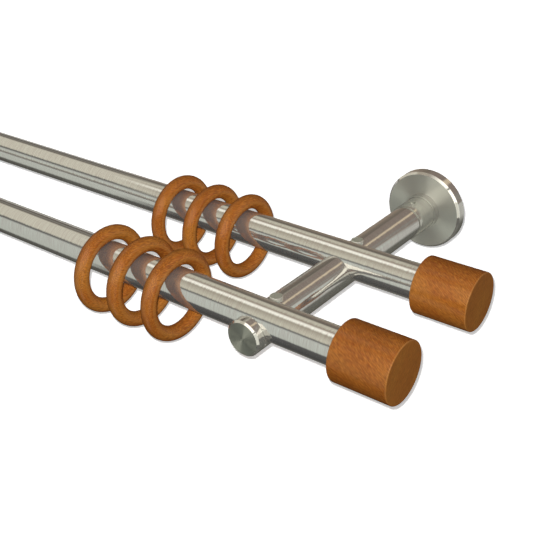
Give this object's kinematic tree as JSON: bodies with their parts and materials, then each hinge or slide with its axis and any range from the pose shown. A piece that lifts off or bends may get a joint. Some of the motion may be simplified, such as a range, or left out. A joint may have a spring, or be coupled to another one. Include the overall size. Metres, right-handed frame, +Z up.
{
  "type": "double curtain pole",
  "caption": "Wall-fixed double curtain pole: steel tubes one behind the other on round bar brackets, with wooden rings and barrel ends.",
  "frame": {"origin": "centre of the right-hand bracket's wall fixing, on the wall plane", "axes": "+X along the poles towards the right-hand end pieces, +Y into the wall, +Z up"},
  "size_m": [1.04, 0.196, 0.0531],
  "materials": {
    "tube_steel": "brushed round the tube",
    "turned_steel": "fine turned, chamfers polished",
    "screw_steel": "satin",
    "beech": "stained and satin lacquered",
    "nylon": "moulded"
  },
  "bodies": {
    "fixed_frame": {"right_wall_socket": "turned_steel", "right_rosette": "turned_steel", "right_arm": "turned_steel", "right_grub_screw": "screw_steel", "right_front_clamp_screw": "screw_steel", "right_rear_clamp_screw": "screw_steel", "left_wall_socket": "turned_steel", "left_rosette": "turned_steel", "left_arm": "turned_steel", "left_grub_screw": "screw_steel", "left_front_clamp_screw": "screw_steel", "left_rear_clamp_screw": "screw_steel", "front_pole": "tube_steel", "front_right_pole_plug": "nylon", "front_right_finial_screw": "screw_steel", "front_right_finial": "beech", "front_left_pole_plug": "nylon", "front_left_finial_screw": "screw_steel", "front_left_finial": "beech", "rear_pole": "tube_steel", "rear_right_pole_plug": "nylon", "rear_right_finial_screw": "screw_steel", "rear_right_finial": "beech", "rear_left_pole_plug": "nylon", "rear_left_finial_screw": "screw_steel", "rear_left_finial": "beech"},
    "front_ring_1": {"front_ring_1": "beech"},
    "front_ring_2": {"front_ring_2": "beech"},
    "front_ring_3": {"front_ring_3": "beech"},
    "rear_ring_1": {"rear_ring_1": "beech"},
    "rear_ring_2": {"rear_ring_2": "beech"},
    "rear_ring_3": {"rear_ring_3": "beech"}
  },
  "joints": [
    {"name": "front_ring_1_slide", "type": "slide", "parent": "fixed_frame", "child": "front_ring_1", "axis": [1, 0, 0], "range_m": [-0.0083, 0.0431]},
    {"name": "front_ring_2_slide", "type": "slide", "parent": "fixed_frame", "child": "front_ring_2", "axis": [1, 0, 0], "range_m": [-0.0083, 0.0083]},
    {"name": "front_ring_3_slide", "type": "slide", "parent": "fixed_frame", "child": "front_ring_3", "axis": [1, 0, 0], "range_m": [-0.7517, 0.0083]},
    {"name": "rear_ring_1_slide", "type": "slide", "parent": "fixed_frame", "child": "rear_ring_1", "axis": [1, 0, 0], "range_m": [-0.0083, 0.0571]},
    {"name": "rear_ring_2_slide", "type": "slide", "parent": "fixed_frame", "child": "rear_ring_2", "axis": [1, 0, 0], "range_m": [-0.0083, 0.0083]},
    {"name": "rear_ring_3_slide", "type": "slide", "parent": "fixed_frame", "child": "rear_ring_3", "axis": [1, 0, 0], "range_m": [-0.7377, 0.0083]}
  ]
}
